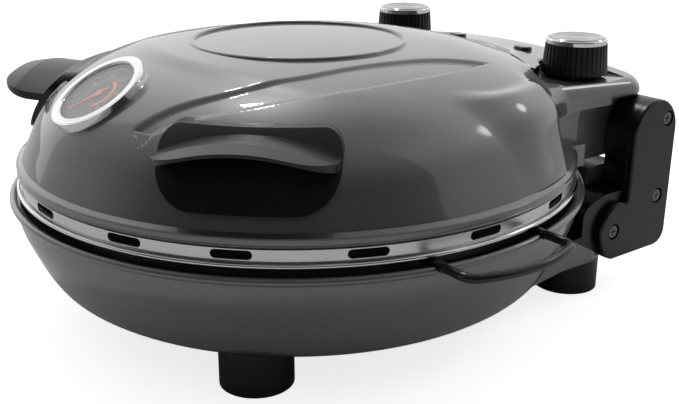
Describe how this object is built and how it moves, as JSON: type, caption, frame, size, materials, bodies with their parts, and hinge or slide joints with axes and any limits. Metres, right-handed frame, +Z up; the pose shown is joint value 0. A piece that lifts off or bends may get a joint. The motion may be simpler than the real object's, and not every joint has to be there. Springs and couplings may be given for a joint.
{
  "type": "electric pizza maker",
  "caption": "Round countertop pizza oven: domed lid with thermometer and control knobs hinged between side arms over a bowl with a baking stone in a lift-out pan.",
  "frame": {"origin": "On the surface the appliance stands on, under the middle of its overall plan outline.", "axes": "+Z is up, -Y is the front where the thermometer sits, and +X is the right-hand side for somebody facing the rear."},
  "size_m": [0.3888, 0.367, 0.1557],
  "materials": {
    "paint": "semi-gloss metallic grey enamel",
    "brushed": "brushed round the ring",
    "chrome": "bright polished",
    "bright_steel": "plain bright sheet",
    "black_plastic": "fine-grained black moulding",
    "knob_black": "fluted black grip",
    "clear_glass": "clear flat glass",
    "dial_face": "printed dial",
    "needle_black": "satin black",
    "lamp_lens": "dark glossy lens",
    "heater_sheath": "dull heat-darkened sheath",
    "wire_coat": "black coated wire",
    "stone": "unglazed baking stone"
  },
  "bodies": {
    "base": {"bowl_shell": "paint", "bowl_liner": "bright_steel", "base_plate": "bright_steel", "lower_element": "heater_sheath", "lower_clips": "bright_steel", "stone_pan": "bright_steel", "left_wire_handle": "wire_coat", "right_wire_handle": "wire_coat", "pizza_stone": "stone", "front_left_foot": "black_plastic", "front_right_foot": "black_plastic", "rear_left_foot": "black_plastic", "rear_right_foot": "black_plastic", "foot_screws": "bright_steel", "left_hinge_base": "black_plastic", "right_hinge_base": "black_plastic", "left_arm": "black_plastic", "right_arm": "black_plastic", "left_arm_cover": "black_plastic", "right_arm_cover": "black_plastic", "arm_screws": "bright_steel", "left_hinge_pin": "bright_steel", "right_hinge_pin": "bright_steel", "cord_gland": "black_plastic"},
    "lid": {"lid_shell": "paint", "lid_liner": "bright_steel", "vent_ring": "brushed", "rim_bead": "chrome", "left_handle": "black_plastic", "right_handle": "black_plastic", "handle_screws": "bright_steel", "gauge_bezel": "chrome", "gauge_glass": "clear_glass", "gauge_dial": "dial_face", "gauge_housing": "bright_steel", "left_light": "lamp_lens", "right_light": "lamp_lens", "deck_cover": "bright_steel", "thermostat_body": "black_plastic", "timer_body": "black_plastic", "upper_element": "heater_sheath", "upper_clips": "bright_steel", "left_hinge_bush": "bright_steel", "right_hinge_bush": "bright_steel"},
    "needle": {"gauge_needle": "needle_black"},
    "thermostat_dial": {"thermostat_knob": "knob_black", "thermostat_cap": "chrome", "thermostat_shaft": "bright_steel"},
    "timer_dial": {"timer_knob": "knob_black", "timer_cap": "chrome", "timer_shaft": "bright_steel"}
  },
  "joints": [
    {"name": "lid_hinge", "type": "hinge", "parent": "base", "child": "lid", "pos_m": [0, 0.1635, 0.097], "axis": [-1, 0, 0], "range_deg": [0, 95]},
    {"name": "thermostat_turn", "type": "hinge", "parent": "lid", "child": "thermostat_dial", "pos_m": [-0.0807, 0.1364, 0.14], "axis": [0, 0, 1], "range_deg": [-270, 0]},
    {"name": "timer_turn", "type": "hinge", "parent": "lid", "child": "timer_dial", "pos_m": [0.0807, 0.1364, 0.14], "axis": [0, 0, 1], "range_deg": [-300, 0]},
    {"name": "needle_turn", "type": "hinge", "parent": "lid", "child": "needle", "pos_m": [0, -0.1397, 0.14], "axis": [0, -0.524, 0.8517], "range_deg": [-240, 0]}
  ]
}
